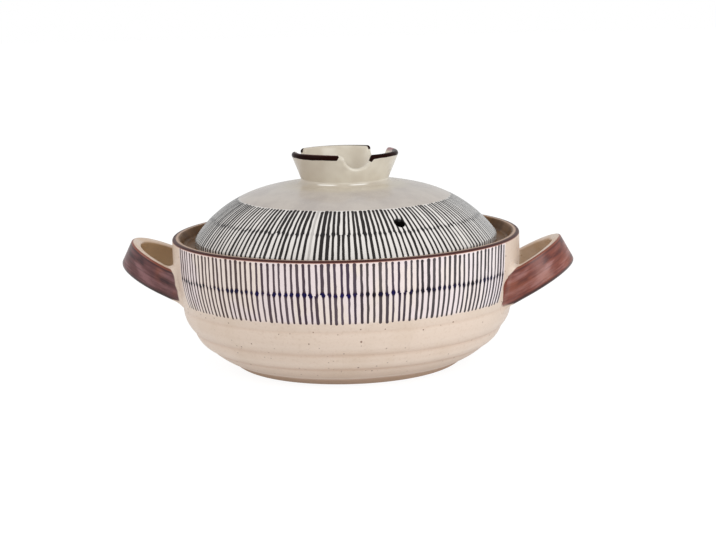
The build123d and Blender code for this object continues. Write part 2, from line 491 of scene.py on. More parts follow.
# A stroke's thickness: its shares, its soft edge, and the dot where the brush was set down
STROKE_PLAIN = 0.56
STROKE_BOLD = 0.4
STROKE_LOAD = 0.5
STROKE_UNEVEN = 0.35
STROKE_SOFTNESS = 0.14
END_DOT = 0.14
END_DOT_FALL = 0.9


def brush_strokes(skin, turn, pitch, along, upper_end, lower_end, half_width, blob, swell, sway):
    """Two brush strokes a stripe, drawn from its joint up and down, with a drop of ink at the joint.

    turn counts the stripes, pitch is their spacing, and along is the height above the joint. blob and
    swell are the drop's length and how far it widens the stroke, and sway is how far the joints
    wander. It returns the share of ink and of drop, and how blue and how loaded the brush is."""
    index = turn.math("FLOOR")
    across = (turn - index - 0.5) * pitch
    joint_chance, blob_chance, end_chance = skin.chances(index, 0.5)
    wander = skin.drift(index, JOINT_PACE, JOINT_ROW)
    height = along - (joint_chance - 0.5) * (sway * JOINT_CHANCE_SHARE)
    height = height - (wander - 0.5) * (sway * JOINT_DRIFT_SHARE)
    upper = height > 0.0
    stray, slant, bold = skin.chances(index, upper + 3.5)
    wave_place = skin.vector(index * WAVE_APART, along * WAVE_PACE, upper * WAVE_ROW)
    wave = skin.noise(1.0, 1.0, wave_place)
    load = skin.drift(index, LOAD_PACE, upper * LOAD_ROW)
    blue = skin.drift(index, BLUE_PACE, BLUE_ROW)
    centre = (stray - 0.5) * STROKE_STRAY + (slant - 0.5) * height * STROKE_LEAN
    centre = centre + (wave - 0.5) * STROKE_WAVE
    drop = (height * height * (-1.0 / blob**2)).math("EXPONENT") * (blob_chance * 0.8 + 0.4)
    end = end_chance * STROKE_END_STRAY
    top_gap = along + half_width - upper_end + end
    dot = (top_gap * top_gap * -END_DOT_FALL).math("EXPONENT")
    thick = bold * bold * STROKE_BOLD + load * STROKE_LOAD + STROKE_PLAIN
    thick = thick + (wave - 0.5) * STROKE_UNEVEN
    width = thick * half_width + drop * swell + dot * END_DOT
    over = top_gap.math("MAXIMUM", 0.0)
    under = (end + half_width + lower_end - along).math("MAXIMUM", 0.0)
    past = over + under
    off = ((across - centre) * (across - centre) + past * past).math("SQRT")
    ink = (off - width).step(0.0, -STROKE_SOFTNESS)
    return ink, drop, blue, load


# Relief: the throwing lines' paces, and the glaze's orange peel
THROWN_AROUND = 0.006
THROWN_UP = 0.42
CLAY_PEEL = 0.28
CLAY_PEEL_SHARE = 0.25
SMOOTH_PEEL = 0.22
CLAY_RELIEF = 0.3
SMOOTH_RELIEF = 0.12


def clay_relief(skin):
    """Throwing lines round the wall, and the fine orange peel of the glaze."""
    lines = skin.vector(skin.x * THROWN_AROUND, skin.y * THROWN_AROUND, skin.z * THROWN_UP)
    return skin.noise(1.0, 3.0, lines) + skin.noise(CLAY_PEEL) * CLAY_PEEL_SHARE


# Specks of iron: cells in a millimetre, the share of them with a speck, and its growth and edge
SPECK_SCALE = 0.25
SPECK_SHARE = 0.36
SPECK_GROWTH = 0.1
SPECK_EDGE = (0.13, 0.04)


def iron_specks(skin):
    """How much of a brown speck covers each point."""
    cells = skin.node("TexVoronoi")
    cells.inputs["Scale"].default_value = SPECK_SCALE
    skin.tree.links.new(skin.place, cells.inputs["Vector"])
    chance, size, shade = skin.parts(cells.outputs["Color"])
    reach = Field(skin.tree, cells.outputs["Distance"])
    spot = (reach - size * SPECK_GROWTH).ramp(*SPECK_EDGE)
    return spot * (chance > 1.0 - SPECK_SHARE) * (shade * 0.6 + 0.4)


# Pot: the foot band's top, the heights where its shade begins and is full, and the lines' wander
FOOT_BAND_Z = 5.4
FOOT_SHADE_HEIGHTS = (19.0, 6.0)
THROWING_WANDER = 1.6

# The throwing grooves, with painted shade and thin glaze along each and a painted highlight on the
# crest above: height, half width, and strength
GROOVES = ((5.4, 0.9, 0.6), (16.2, 2.4, 0.34), (28.3, 3.0, 0.22), (45.4, 2.0, 0.12))


def pot_body_colour(skin):
    """The cream body of the pot, painted shade towards its foot, painted shade and thin glaze along its
    grooves with a painted highlight above each, and its tan foot band.
    """
    cloud = skin.noise(0.035, 3.0)
    grain = skin.noise(0.55)
    base = skin.mix(CREAM, CREAM_CLOUD, cloud.ramp(0.45, 0.75) * 0.4)
    base = skin.mix(base, CREAM_GRAIN, grain.ramp(0.5, 0.75) * 0.3)
    base = skin.mix(base, IRON_SPECK, iron_specks(skin))
    wobble = skin.noise(0.03)
    height = skin.z - (wobble - 0.5) * THROWING_WANDER
    base = skin.mix(base, FOOT_SHADE, height.ramp(*FOOT_SHADE_HEIGHTS) * 0.45)
    base = skin.mix(base, FOOT_TAN, height.ramp(FOOT_BAND_Z + 0.2, FOOT_BAND_Z - 0.9) * 0.85)
    for groove_z, half_width, strength in GROOVES:
        # Painted shade and thin glaze along the groove, and a painted highlight on its crest above
        line = abs(height - groove_z).ramp(half_width, 0.0) * (wobble * 0.8 + 0.6) * strength
        base = skin.mix(base, GROOVE_SHADE_TAN, line)
        crest_highlight = abs(height - groove_z - half_width * 2.0).ramp(half_width * 1.2, 0.0) * strength
        base = skin.mix(base, GROOVE_CREST_HIGHLIGHT, crest_highlight * 0.5)
    return base


# Stripes of the pot's two panels, which are turned a little to the right and fan out below
STRIPE_TURN = 1.955
STRIPE_COUNT = 67
PANEL_TURN = 1.6
PANEL_TAPER = 1.9e-7
BACK_STRIPES = 500.0
JOINT_Z = 71.9
STRIPE_TOP_Z = 93.6
STRIPE_FOOT_Z = 51.0
STRIPE_HALF_WIDTH = 0.97
SIDE_STRIPES_WIDER = 0.1
DROP_LENGTH = 1.45
DROP_SWELL = 0.62
JOINT_SWAY = 1.3

# Where the pot's ink is violet: its middle turn, and how far from it that fades and is full
VIOLET_TURN = -4.0
VIOLET_REACH = (36.0, 10.0)

# Where the lip's bands and the glazed inside start, from the top of the wall inward
LIP_LINE_START = -0.1
LIP_BROWN_START = -0.4
LIP_TAN_START = -3.4
INNER_START = -5.2

# Where the right handle's brown runs on over the wall at its front root, in degrees round the pot
LOBE_TURN = 66.0
LOBE_END = 76.0
LOBE_Z = 57.0
LOBE_HALF_HEIGHT = 11.0
LOBE_ROUND = 4.6
LOBE_LEAN = 2.6
LOBE_SOFTNESS = 0.15

POT_ROUGHNESS = 0.36
POT_GLOSS = 0.36
BARE_ROUGHER = 0.4


def pot_slip(skin, angle, cloud):
    """The white slip under the stripes: rosy in clouds, cooler to its sides, and warm at its top."""
    white = skin.mix(SLIP_ROSE, SLIP_WARM, cloud.ramp(0.45, 0.62))
    white = skin.mix(white, SLIP_COOL, angle.ramp(20.0, 60.0) * 0.6)
    return skin.mix(white, SLIP_TOP, skin.z.ramp(STRIPE_TOP_Z - 1.0, STRIPE_TOP_Z))


def pot_ink(skin, angle, drop, blue):
    """The ink: browner on the left, violet in some stripes, and black or blue in its drops."""
    violet = abs(angle - VIOLET_TURN).ramp(*VIOLET_REACH)
    ink = skin.mix(INK_LEFT, INK_RIGHT, angle.ramp(-30.0, 30.0))
    ink = skin.mix(ink, INK_VIOLET, blue.ramp(0.42, 0.6) * violet)
    drop_ink = skin.mix(DROP_BLACK, DROP_BLUE, blue.ramp(0.4, 0.56) * (violet * 0.7 + 0.3))
    return skin.mix(ink, drop_ink, drop.ramp(0.15, 0.75))


def brown_lobe(skin, angle, backward):
    """Where the right handle's brown runs on over the wall, with a rounded edge."""
    rise = (skin.z - LOBE_Z) / LOBE_HALF_HEIGHT
    edge = rise * rise * rise * rise * LOBE_ROUND - rise * LOBE_LEAN + LOBE_TURN
    lobe = (angle - edge).step(0.0, LOBE_SOFTNESS) * abs(rise).ramp(1.08, 1.0)
    return lobe * (angle < LOBE_END) * (backward < 0.0)


def pot_lip(skin, wall, run, cloud):
    """The wall's colour, with the brown lip, its tan inner edge and the glazed inside."""
    lip = skin.mix(wall, LIP_LINE, run.step(LIP_LINE_START, -0.2) * 0.9)
    lip = skin.mix(lip, LIP_BROWN, run.ramp(LIP_BROWN_START + 0.15, LIP_BROWN_START - 0.3))
    lip = skin.mix(lip, LIP_TAN, run.step(LIP_TAN_START, -0.4))
    inside = skin.mix(INSIDE_BROWN, INSIDE_DARK, cloud.ramp(0.4, 0.7))
    return skin.mix(lip, inside, run.step(INNER_START, -0.5))


def pot_glaze():
    """Cream glaze with two panels of striped slip, a brown lip, a dark inside and a bare foot."""
    skin = Surface("pot_glaze")
    run = skin.attribute("run")
    turn = radians(PANEL_TURN)
    rightward = skin.x * cos(turn) + skin.y * sin(turn)
    backward = skin.y * cos(turn) - skin.x * sin(turn)
    angle = rightward.math("ARCTAN2", abs(backward)) * (180 / pi)
    taper = (STRIPE_TOP_Z - skin.z) * angle * angle * angle * PANEL_TAPER
    column = (angle + taper) / STRIPE_TURN + STRIPE_COUNT / 2
    in_panel = (column > 0.0) * (column < STRIPE_COUNT) * (run > LIP_LINE_START)
    ink, drop, blue, load = brush_strokes(
        skin, column + (backward > 0.0) * BACK_STRIPES, radians(STRIPE_TURN) * rim_radius,
        skin.z - JOINT_Z, STRIPE_TOP_Z - JOINT_Z, STRIPE_FOOT_Z - JOINT_Z,
        angle.ramp(10.0, 50.0) * SIDE_STRIPES_WIDER + STRIPE_HALF_WIDTH,
        DROP_LENGTH, DROP_SWELL, JOINT_SWAY,
    )
    slip = skin.z.ramp(STRIPE_FOOT_Z - 0.5, STRIPE_FOOT_Z + 3.0) * in_panel
    cloud = skin.noise(0.05, 2.0, skin.vector(skin.x, skin.y, skin.z * 0.6))
    ground = skin.mix(pot_body_colour(skin), pot_slip(skin, angle, cloud), slip * 0.9)
    strength = ink * in_panel * (load * 0.2 + 0.84 + drop * 0.2).math("MINIMUM", 1.0)
    painted = skin.mix(ground, pot_ink(skin, angle, drop, blue), strength)
    painted = skin.mix(painted, HANDLE_BROWNS["right"][0], brown_lobe(skin, angle, backward))
    base = pot_lip(skin, painted, run, cloud)
    bare = skin.z.ramp(FOOT_BAND_Z, FOOT_BAND_Z - 2.0) * (run > 0.0)
    dull = (strength * 0.26).math("MAXIMUM", run.ramp(LIP_LINE_START, LIP_LINE_START - 0.8) * 0.3)
    roughness = bare * BARE_ROUGHER + POT_ROUGHNESS
    return skin.finish(base, roughness, POT_GLOSS - dull, clay_relief(skin), CLAY_RELIEF)


# Handle glaze: where the brown ends at the roots, its rounding there, and the inner face's olive
BROWN_END = {"left": 0.8, "right": -1.6}
ROOT_ROUND = {"left": 1.6, "right": 5.0}
INSIDE_SHARES = {"left": 1.0, "right": 0.6}

# How far from the strap's edges its dark pool, thin line, dark lower edge and brown underside reach
POOL_REACH = (3.4, 1.9)
LINE_REACH = (1.7, 1.2)
LOWER_REACH = (3.4, 1.4)
UNDER_REACH = (3.6, 3.2)

HANDLE_ROUGHNESS = 0.38
BROWN_SMOOTHER = 0.08
HANDLE_GLOSS = 0.4


def handle_brown(skin, side, along, across, face, streaks, cloud):
    """The iron brown of the strap's outer face, with its pools, runs and edges."""
    main, dark, light = HANDLE_BROWNS[side]
    half_width = STRAP_WIDTHS[side] / 2
    below_top = half_width - across
    pools = skin.noise(1.0, 3.0, skin.vector(along * 0.055, across * 0.2, face * 0.3))
    brown = skin.mix(main, light, pools.ramp(0.52, 0.72) * 0.8)
    brown = skin.mix(brown, dark, pools.ramp(0.52, 0.34))
    brown = skin.mix(brown, dark, streaks.ramp(0.52, 0.36) * 0.4)
    brown = skin.mix(brown, HANDLE_RUST, cloud.ramp(0.52, 0.75) * 0.4)
    brown = skin.mix(brown, dark, below_top.ramp(*POOL_REACH) * 0.75)
    brown = skin.mix(brown, HANDLE_LINE, below_top.ramp(*LINE_REACH) * 0.85)
    return skin.mix(brown, HANDLE_LOWER, (across + half_width).ramp(*LOWER_REACH) * 0.85)


def brown_share(skin, side, along, across, face, root):
    """Where the brown covers the strap: its outer face and lower edge, up to its roots."""
    half_width = STRAP_WIDTHS[side] / 2
    outer = (face - root * 0.2).ramp(0.66, 0.82)
    lower = across.ramp(UNDER_REACH[0] - half_width, UNDER_REACH[1] - half_width)
    under = face.ramp(0.1, 0.35) * lower * along.ramp(5.0, 7.0)
    edge = abs(across) / half_width
    rounded = edge * edge * edge * edge * ROOT_ROUND[side]
    stray = skin.noise(1.0, 1.0, skin.vector(across * 0.12, skin.y * 0.02, 0.0))
    ends = (along - rounded - (stray - 0.5) * 3.0).ramp(BROWN_END[side], BROWN_END[side] + 0.8)
    return outer.math("MAXIMUM", under) * ends


def handle_glaze(side):
    """Streaky iron glaze on the strap's outer face, cream on its edges, and olive inside."""
    skin = Surface("handle_glaze_" + side)
    along, across, face = (skin.attribute(name) for name in ("along", "across", "face"))
    streaks = skin.noise(1.0, 3.0, skin.vector(along * 0.035, across * 0.7, 7.0))
    cloud = skin.noise(0.07)
    cream = pot_body_colour(skin)
    edge = skin.mix(cream, HANDLE_EDGE, cloud.ramp(0.3, 0.7) * 0.8)
    inside = skin.mix(edge, HANDLE_INSIDE, face.ramp(-0.75, -0.97) * INSIDE_SHARES[side])
    root = along.ramp(6.0, 1.0)
    brown = handle_brown(skin, side, along, across, face, streaks, cloud)
    painted = brown_share(skin, side, along, across, face, root)
    base = skin.mix(skin.mix(inside, cream, root), brown, painted)
    roughness = painted * -BROWN_SMOOTHER + HANDLE_ROUGHNESS
    return skin.finish(base, roughness, HANDLE_GLOSS, streaks * 0.4 + cloud * 0.5, CLAY_RELIEF)


# Lid: its ring of stripes, of which one is pale, and its bare rim
LID_STRIPE_COUNT = 170
LID_STRIPE_START = 75.8
LID_JOINT_RADIUS = 95.8
LID_STROKE_END = -60.0
LID_HALF_WIDTH = 0.98
LID_DROP_LENGTH = 1.1
LID_DROP_SWELL = 0.4
LID_JOINT_SWAY = 1.2
LID_RIM_RUN = -3.0
PALE_STRIPE = 38

# Where its strokes turn wider or finer, and where a painted reflection greys its slip, in stripes to
# the right of the front
LEFT_WIDER, LEFT_WIDER_STRIPES = 0.2, (-18.0, -34.0)
RIGHT_FINER, RIGHT_FINER_STRIPES = 0.13, (6.0, 20.0)
FRONT_WIDER, FRONT_WIDER_STRIPES = 0.16, (3.0, 1.0)
LEFT_REFLECTION_STRIPES = (-22.0, -36.0)
RIGHT_REFLECTION_STRIPES = (24.0, 40.0)

# The radii between which the crown turns from the painted reflection of the knob's cream to grey
KNOB_REFLECTION_RADII = (39.0, 52.0)

LID_ROUGHNESS = 0.2
KNOB_ROUGHNESS = 0.22
SMOOTH_GLOSS = 0.5


def knob_cream(skin):
    """The warm cream of the knob and of its painted reflection in the crown round its foot, with
    painted shade on the left.
    """
    cream = skin.mix(KNOB_CREAM, KNOB_CLOUD, skin.noise(0.06).ramp(0.35, 0.7))
    # Painted shade on the knob's left
    return skin.mix(cream, KNOB_LEFT_SHADE, skin.x.ramp(8.0, -34.0) * 0.7)


def lid_crown(skin):
    """The grey crown, with a painted reflection of the knob, in its cream and the cove's painted shade,
    round the knob's foot.
    """
    cloud = skin.noise(0.05, 3.0)
    grain = skin.noise(0.9)
    grey = skin.mix(CROWN_GREY, CROWN_SHADE, cloud.ramp(0.35, 0.7))
    grey = skin.mix(grey, CROWN_GRAIN, grain.ramp(0.5, 0.8) * 0.3)
    # Painted reflection of the knob in the glossy crown, with the cove's painted shade
    warm = skin.mix(knob_cream(skin), COVE_SHADE, 0.6)
    return skin.mix(warm, grey, skin.radius.ramp(*KNOB_REFLECTION_RADII))


def lid_half_width(rightward):
    """Half the width of the lid's strokes, by how many stripes they lie to the right of the front."""
    beside_pale = PALE_STRIPE + 1 - LID_STRIPE_COUNT / 4
    bold = rightward.step(beside_pale, 0.1) * rightward.ramp(*FRONT_WIDER_STRIPES)
    wider = rightward.ramp(*LEFT_WIDER_STRIPES) * LEFT_WIDER
    finer = rightward.ramp(*RIGHT_FINER_STRIPES) * RIGHT_FINER
    return wider - finer + bold * FRONT_WIDER + LID_HALF_WIDTH


def lid_glaze():
    """Greyish cream crown, a ring of fine strokes over white slip, greyed at its sides by a painted
    reflection, a bare rim, and painted shade in the steam hole.
    """
    skin = Surface("lid_glaze")
    run = skin.attribute("run")
    turn = skin.y.math("ARCTAN2", skin.x) * (LID_STRIPE_COUNT / (2 * pi)) + LID_STRIPE_COUNT / 2
    rightward = turn - LID_STRIPE_COUNT / 4
    ink, drop, _, _ = brush_strokes(
        skin, turn, skin.radius * (2 * pi / LID_STRIPE_COUNT), LID_JOINT_RADIUS - skin.radius,
        LID_JOINT_RADIUS - LID_STRIPE_START, LID_STROKE_END, lid_half_width(rightward),
        LID_DROP_LENGTH, LID_DROP_SWELL, LID_JOINT_SWAY,
    )
    outside = run.step(LID_RIM_RUN, -0.5)
    ink = ink * outside
    slip_edge = skin.radius + skin.noise(0.3, 2.0, skin.vector(skin.x, skin.y, 0.0)) * 1.2
    slip = slip_edge.ramp(LID_STRIPE_START + 0.2, LID_STRIPE_START + 1.6) * outside
    # Painted reflection, which greys the slip towards the lid's sides
    thin = rightward.ramp(*LEFT_REFLECTION_STRIPES) + rightward.ramp(*RIGHT_REFLECTION_STRIPES)
    white = skin.mix(LID_SLIP, LID_SLIP_REFLECTION, thin * 0.7)
    ground = skin.mix(lid_crown(skin), white, slip * 0.9)
    not_pale = abs(turn - (PALE_STRIPE + 0.5)) > 0.5
    ink_colour = skin.mix(LID_INK, LID_DROP_INK, drop)
    painted = skin.mix(ground, ink_colour, ink * (not_pale * 0.62 + 0.36))
    rimmed = skin.mix(painted, BARE_CLAY, run.step(LID_RIM_RUN, 0.5))
    # Painted shade inside the steam hole
    base = skin.mix(rimmed, HOLE_SHADE_BLACK, skin.attribute("hole"))
    peel = skin.noise(SMOOTH_PEEL)
    return skin.finish(base, LID_ROUGHNESS, SMOOTH_GLOSS - ink * 0.4, peel, SMOOTH_RELIEF)


# Knob glaze: the brown rim's lower edge. In degrees from the middle of the front notch, it stops
# short on the left, and runs down in a drip on the right
KNOB_BAND_Z = knob_top_z - 3.0
BAND_STOP = -18.0
BAND_STOP_FADE = 4.0
BAND_STOP_RISE = 3.4
DRIP_TURN = 16.4
DRIP_WIDTH = 1.7
DRIP_DEPTH = 1.9

# The rim's outer face, which the brown covers
BAND_RADII = (34.4, 35.2)
BAND_TOP_Z = knob_top_z + 0.8

# Where the rim's brown is thin and mauve, beside the notch at the back right
THIN_TURNS = (80.0, 112.0)
THIN_FADE = 6.0

# The painted shade in the cove at the knob's foot, and the two painted highlights in it
COVE_SHADE_Z = land_z + 3.4
GLINT_Z = land_z + 2.0
GLINT_FALL = 8.0
GLINT_TURNS = ((-54.0, -20.0), (-12.0, 20.0))
GLINT_FADE = 11.0


def between_turns(turn, turns, fade):
    """1 between these two turns, fading to 0 inside both."""
    start, end = turns
    return turn.ramp(start, start + fade) * turn.ramp(end, end - fade)


def knob_band(skin, turn):
    """How brown the rim is, and how far each point lies above the brown's lower edge."""
    from_drip = (turn - DRIP_TURN) / DRIP_WIDTH
    drip = (-(from_drip * from_drip)).math("EXPONENT") * DRIP_DEPTH
    stop = turn.ramp(BAND_STOP - BAND_STOP_FADE, BAND_STOP) * (turn < 0.0) * BAND_STOP_RISE
    waver = skin.noise(0.12)
    above = skin.z - (waver - 0.5 - drip + stop + KNOB_BAND_Z)
    outer = skin.radius.ramp(*BAND_RADII) * (stop * -0.5 + BAND_TOP_Z - skin.z).step(0.0, 0.2)
    return above.ramp(-0.2, 0.25) * outer, above


def knob_glaze():
    """Cream glaze with a dark brown rim, which the notches break, and painted shade and highlights in
    the cove at its foot.
    """
    skin = Surface("knob_glaze")
    turn = skin.y.math("ARCTAN2", skin.x) * (180 / pi) - FRONT_NOTCH_TURN
    banded, above = knob_band(skin, turn)
    # Painted shade low in the cove
    shade = skin.z.ramp(COVE_SHADE_Z, COVE_SHADE_Z - 1.5) * 0.6
    cream = skin.mix(knob_cream(skin), COVE_SHADE, shade)
    # Two painted highlights along the cove
    from_glint = skin.z - GLINT_Z
    glint = (from_glint * from_glint * -GLINT_FALL).math("EXPONENT")
    first, second = (between_turns(turn, turns, GLINT_FADE) for turns in GLINT_TURNS)
    cream = skin.mix(cream, GLINT_WHITE, glint * (first + second))
    brown = skin.mix(BAND_BLACK, BAND_BROWN, skin.z.ramp(knob_top_z - 0.2, knob_top_z + 0.5))
    thin = between_turns(turn, THIN_TURNS, THIN_FADE) * above.ramp(0.0, 1.2)
    base = skin.mix(skin.mix(cream, brown, banded), BAND_MAUVE, thin * 0.9)
    peel = skin.noise(SMOOTH_PEEL)
    return skin.finish(base, KNOB_ROUGHNESS, SMOOTH_GLOSS - banded * 0.48, peel, SMOOTH_RELIEF)


# The pot body
pot_stations = smooth_profile(seam_outline("pot_body"), POT_CORNER_TURN)
wall_top = int(np.argmax(pot_stations[:, 0] > rim_radius - SEAM_TOLERANCE))
inner_stations = pot_stations[: int(np.argmax(pot_stations[:, 1] > ledge_z - LEDGE_MARGIN))]
inner_wall = (inner_stations[:, 1], inner_stations[:, 0] + INNER_WALL_MARGIN)
outer_stations = pot_stations[wall_top:][::-1]
pot_vertices, pot_faces = turned_grid(pot_stations, lean)
new_piece(
    "pot_shell", pot_vertices, list(pot_faces.values()), "pot", pot_glaze(), "pot_body",
    {"run": runs_along(pot_stations, wall_top)},
)


def wall_clearance(point):
    """How far a point lies outside the pot's wall, and the outward direction there."""
    wall = np.interp(point[2], outer_stations[:, 1], outer_stations[:, 0])
    out = np.array((point[0], point[1], 0.0))
    distance = np.linalg.norm(out)
    return distance - wall, out / distance


def rounded_section(width):
    """The strap's section, as (across, outward) points with their outward normals."""
    half_width, half_depth = width / 2, STRAP_THICKNESS / 2
    corners = [
        (half_width, half_depth, STRAP_TOP_ROUND, 0),
        (-half_width, half_depth, STRAP_LOWER_ROUND, 90),
        (-half_width, -half_depth, STRAP_INNER_ROUND, 180),
        (half_width, -half_depth, STRAP_INNER_ROUND, 270),
    ]
    arcs = []
    for across, outward, size, start in corners:
        centre = np.array((across - np.sign(across) * size, outward - np.sign(outward) * size))
        for angle in np.radians(np.linspace(start, start + 90, SECTION_ARC_STEPS)):
            normal = np.array((cos(angle), sin(angle)))
            arcs.append((centre + normal * size, normal))
    section = []
    for (point, normal), (following, _) in zip(arcs, arcs[1:] + arcs[:1]):
        section.append((point, normal))
        pieces = int(np.linalg.norm(following - point) / SECTION_STEP)
        for i in range(1, pieces):
            section.append((point + (following - point) * i / pieces, normal))
    return section


def strap_point(path_place, side, point):
    """A point of a strap, as if on the right: its place along the loop, and in the strap's section."""
    tilt = radians(HANDLE_TILTS[side])
    leg = LOOP_RADIUS - STRAP_THICKNESS / 2
    centre = STRAP_REACH - LOOP_RADIUS
    half_turn = leg * pi / 2
    if abs(path_place) < half_turn:
        angle = path_place / leg
        out, sideways = centre + leg * cos(angle), leg * sin(angle)
        normal = (cos(angle), sin(angle))
    else:
        out = centre - (abs(path_place) - half_turn)
        sideways = leg * np.sign(path_place)
        normal = (0.0, np.sign(path_place))
    out += normal[0] * point[1]
    sideways += normal[1] * point[1]
    up = point[0]
    return np.array((
        rim_radius - HANDLE_INSET + out * cos(tilt) - up * sin(tilt),
        sideways,
        HANDLE_HEIGHTS[side] + out * sin(tilt) + up * cos(tilt),
    ))


def root_place(side, point, way, clearance):
    """Where along the loop the strap's line through this point comes this near to the wall."""
    near, far = (way * place for place in ROOT_SEARCH)
    for _ in range(ROOT_SEARCH_TRIES):
        middle = (near + far) / 2
        if wall_clearance(strap_point(middle, side, point))[0] > clearance:
            near = middle
        else:
            far = middle
    return near


def luting_line(side, point, normal, way, place):
    """The curve by which one line of the strap flares into the wall, from the strap to the wall."""
    start = strap_point(place, side, point)
    ahead = strap_point(place + way * 0.5, side, point) - start
    ahead /= np.linalg.norm(ahead)
    spread = strap_point(place, side, point + normal) - start
    line = []
    for i in range(1, LUTING_STEPS + 1):
        angle = pi / 2 * i / LUTING_STEPS
        spot = start + ahead * LUTING_RADIUS * sin(angle) + spread * LUTING_RADIUS * (1 - cos(angle))
        clear, out = wall_clearance(spot)
        line.append(spot + out * (LUTING_RADIUS * (1 - sin(angle)) - clear))
    sunk = line[-1] - out * ROOT_SINK
    return line + [sunk]


def root_run():
    """How far from the wall each point of a luting curve lies, from the strap to the wall."""
    angles = [pi / 2 * i / LUTING_STEPS for i in range(1, LUTING_STEPS + 1)]
    return [LUTING_RADIUS * (1 - sin(angle)) for angle in angles] + [0.0]


def handle(name, side, node):
    """A strap handle, flared into the wall at both roots."""
    mirror = np.array((-1.0 if side == "left" else 1.0, 1.0, 1.0))
    section = rounded_section(STRAP_WIDTHS[side])
    lines, along, across, face = [], [], [], []
    for point, normal in section:
        front = root_place(side, point, -1, LUTING_RADIUS)
        back = root_place(side, point, 1, LUTING_RADIUS)
        front_root = luting_line(side, point, normal, -1, front)[::-1]
        back_root = luting_line(side, point, normal, 1, back)
        places = np.linspace(front, back, STRAP_STEPS)
        strap = [strap_point(place, side, point) for place in places]
        line = [spot * mirror for spot in front_root + strap + back_root]
        lines.append(line)
        strap_run = [LUTING_RADIUS + min(place - front, back - place) for place in places]
        along += root_run()[::-1] + strap_run + root_run()
        across += [point[0]] * len(line)
        face += [point[1] / (STRAP_THICKNESS / 2)] * len(line)
    length = len(lines[0])
    vertices = [spot for line in lines for spot in line]
    rings = [[k * length + i for k in range(len(lines))] for i in range(length)]
    faces = quads_between(rings) + [rings[0], rings[-1]]
    marks = {"along": along, "across": across, "face": face}
    return new_piece(name, vertices, faces, "pot", handle_glaze(side), node, marks)


handle("strap_left", "left", "handle_left")
handle("strap_right", "right", "handle_right")

# The lid's dome, with its steam hole set into the turned grid
lid_stations = smooth_profile(seam_outline("lid_dome"), LID_CORNER_TURN)
seat = int(np.argmin(lid_stations[:, 1]))
lid_vertices, lid_faces = turned_grid(lid_stations)

# The marks of the hole's new vertices: on which side of the dome they lie, and how much painted shade
# they carry
hole_runs = []
hole_shade_marks = []


def dome_height(radius, outer):
    """The height of the dome's outer or inner surface over this radius."""
    stations = lid_stations[:seat] if outer else lid_stations[seat:][::-1]
    return float(np.interp(radius, stations[:, 0], stations[:, 1]))


def patch_loop(outer):
    """Opens a square patch of the dome's grid round the hole, and returns the loop of its corners."""
    on_side = (np.arange(len(lid_stations)) < seat) == outer
    middle = int(np.argmin(abs(lid_stations[:, 0] * on_side - STEAM_HOLE_REACH)))
    middle_turn = round(STEAM_HOLE_TURN % 360 / 360 * TURN_STEPS)
    half = HOLE_PATCH_CELLS // 2
    for i in range(middle - half, middle + half):
        for j in range(middle_turn - half, middle_turn + half):
            del lid_faces[i * TURN_STEPS + j % TURN_STEPS]
    down = range(-half, half)
    loop = [(-half, j) for j in down] + [(i, half) for i in down]
    loop += [(half, -j) for j in down] + [(-i, -half) for i in down]
    if not outer:
        loop = [(-i, j) for i, j in loop]
    return [(middle + i) * TURN_STEPS + (middle_turn + j) % TURN_STEPS for i, j in loop]


def ring_between(loop, size, drop, outer, share=1.0, dark=0.0):
    """A ring of new vertices: the loop drawn in towards a circle of this size round the hole."""
    turn = radians(STEAM_HOLE_TURN)
    centre = np.array((STEAM_HOLE_REACH * cos(turn), STEAM_HOLE_REACH * sin(turn)))
    ring = []
    hole_runs.extend([-HOLE_RUN if outer else HOLE_RUN] * len(loop))
    # Painted shade in the hole: dark is its share
    hole_shade_marks.extend([dark] * len(loop))
    for index in loop:
        start = np.array(lid_vertices[index][:2])
        away = (start - centre) / np.linalg.norm(start - centre)
        spot = start + (centre + away * size - start) * share
        height = dome_height(np.linalg.norm(spot), outer) + drop
        ring.append(len(lid_vertices))
        lid_vertices.append((spot[0], spot[1], height))
    return ring


def steam_hole():
    """Fills the opened patches with rings that lead from the dome into the hole and out below."""
    top, bottom = patch_loop(True), patch_loop(False)
    edge = STEAM_HOLE_RADIUS + STEAM_HOLE_ROUND
    rings = [top]
    rings += [ring_between(top, edge, 0.0, True, share) for share in HOLE_OUTER_SHARES]
    # dark is the share of painted shade: it deepens as the edge turns down into the hole, and is full
    # below
    for turn in HOLE_EDGE_TURNS:
        size = edge - STEAM_HOLE_ROUND * sin(radians(turn))
        drop = -STEAM_HOLE_ROUND * (1 - cos(radians(turn)))
        rings.append(ring_between(top, size, drop, True, dark=(turn / HOLE_EDGE_TURNS[-1]) ** 4))
    rings.append(ring_between(bottom, STEAM_HOLE_RADIUS, HOLE_FOOT_RISE, False, dark=1.0))
    rings += [ring_between(bottom, edge, 0.0, False, share, 1.0) for share in HOLE_INNER_SHARES]
    rings.append(bottom)
    return quads_between(rings)


hole_faces = steam_hole()
lid_runs = runs_along(lid_stations, seat)
# Painted shade only in the hole
shade_marks = [0.0] * len(lid_runs) + hole_shade_marks
new_piece(
    "lid_shell", askew(lid_vertices), list(lid_faces.values()) + hole_faces, "lid", lid_glaze(),
    "lid_dome", {"run": lid_runs + hole_runs, "hole": shade_marks},
)


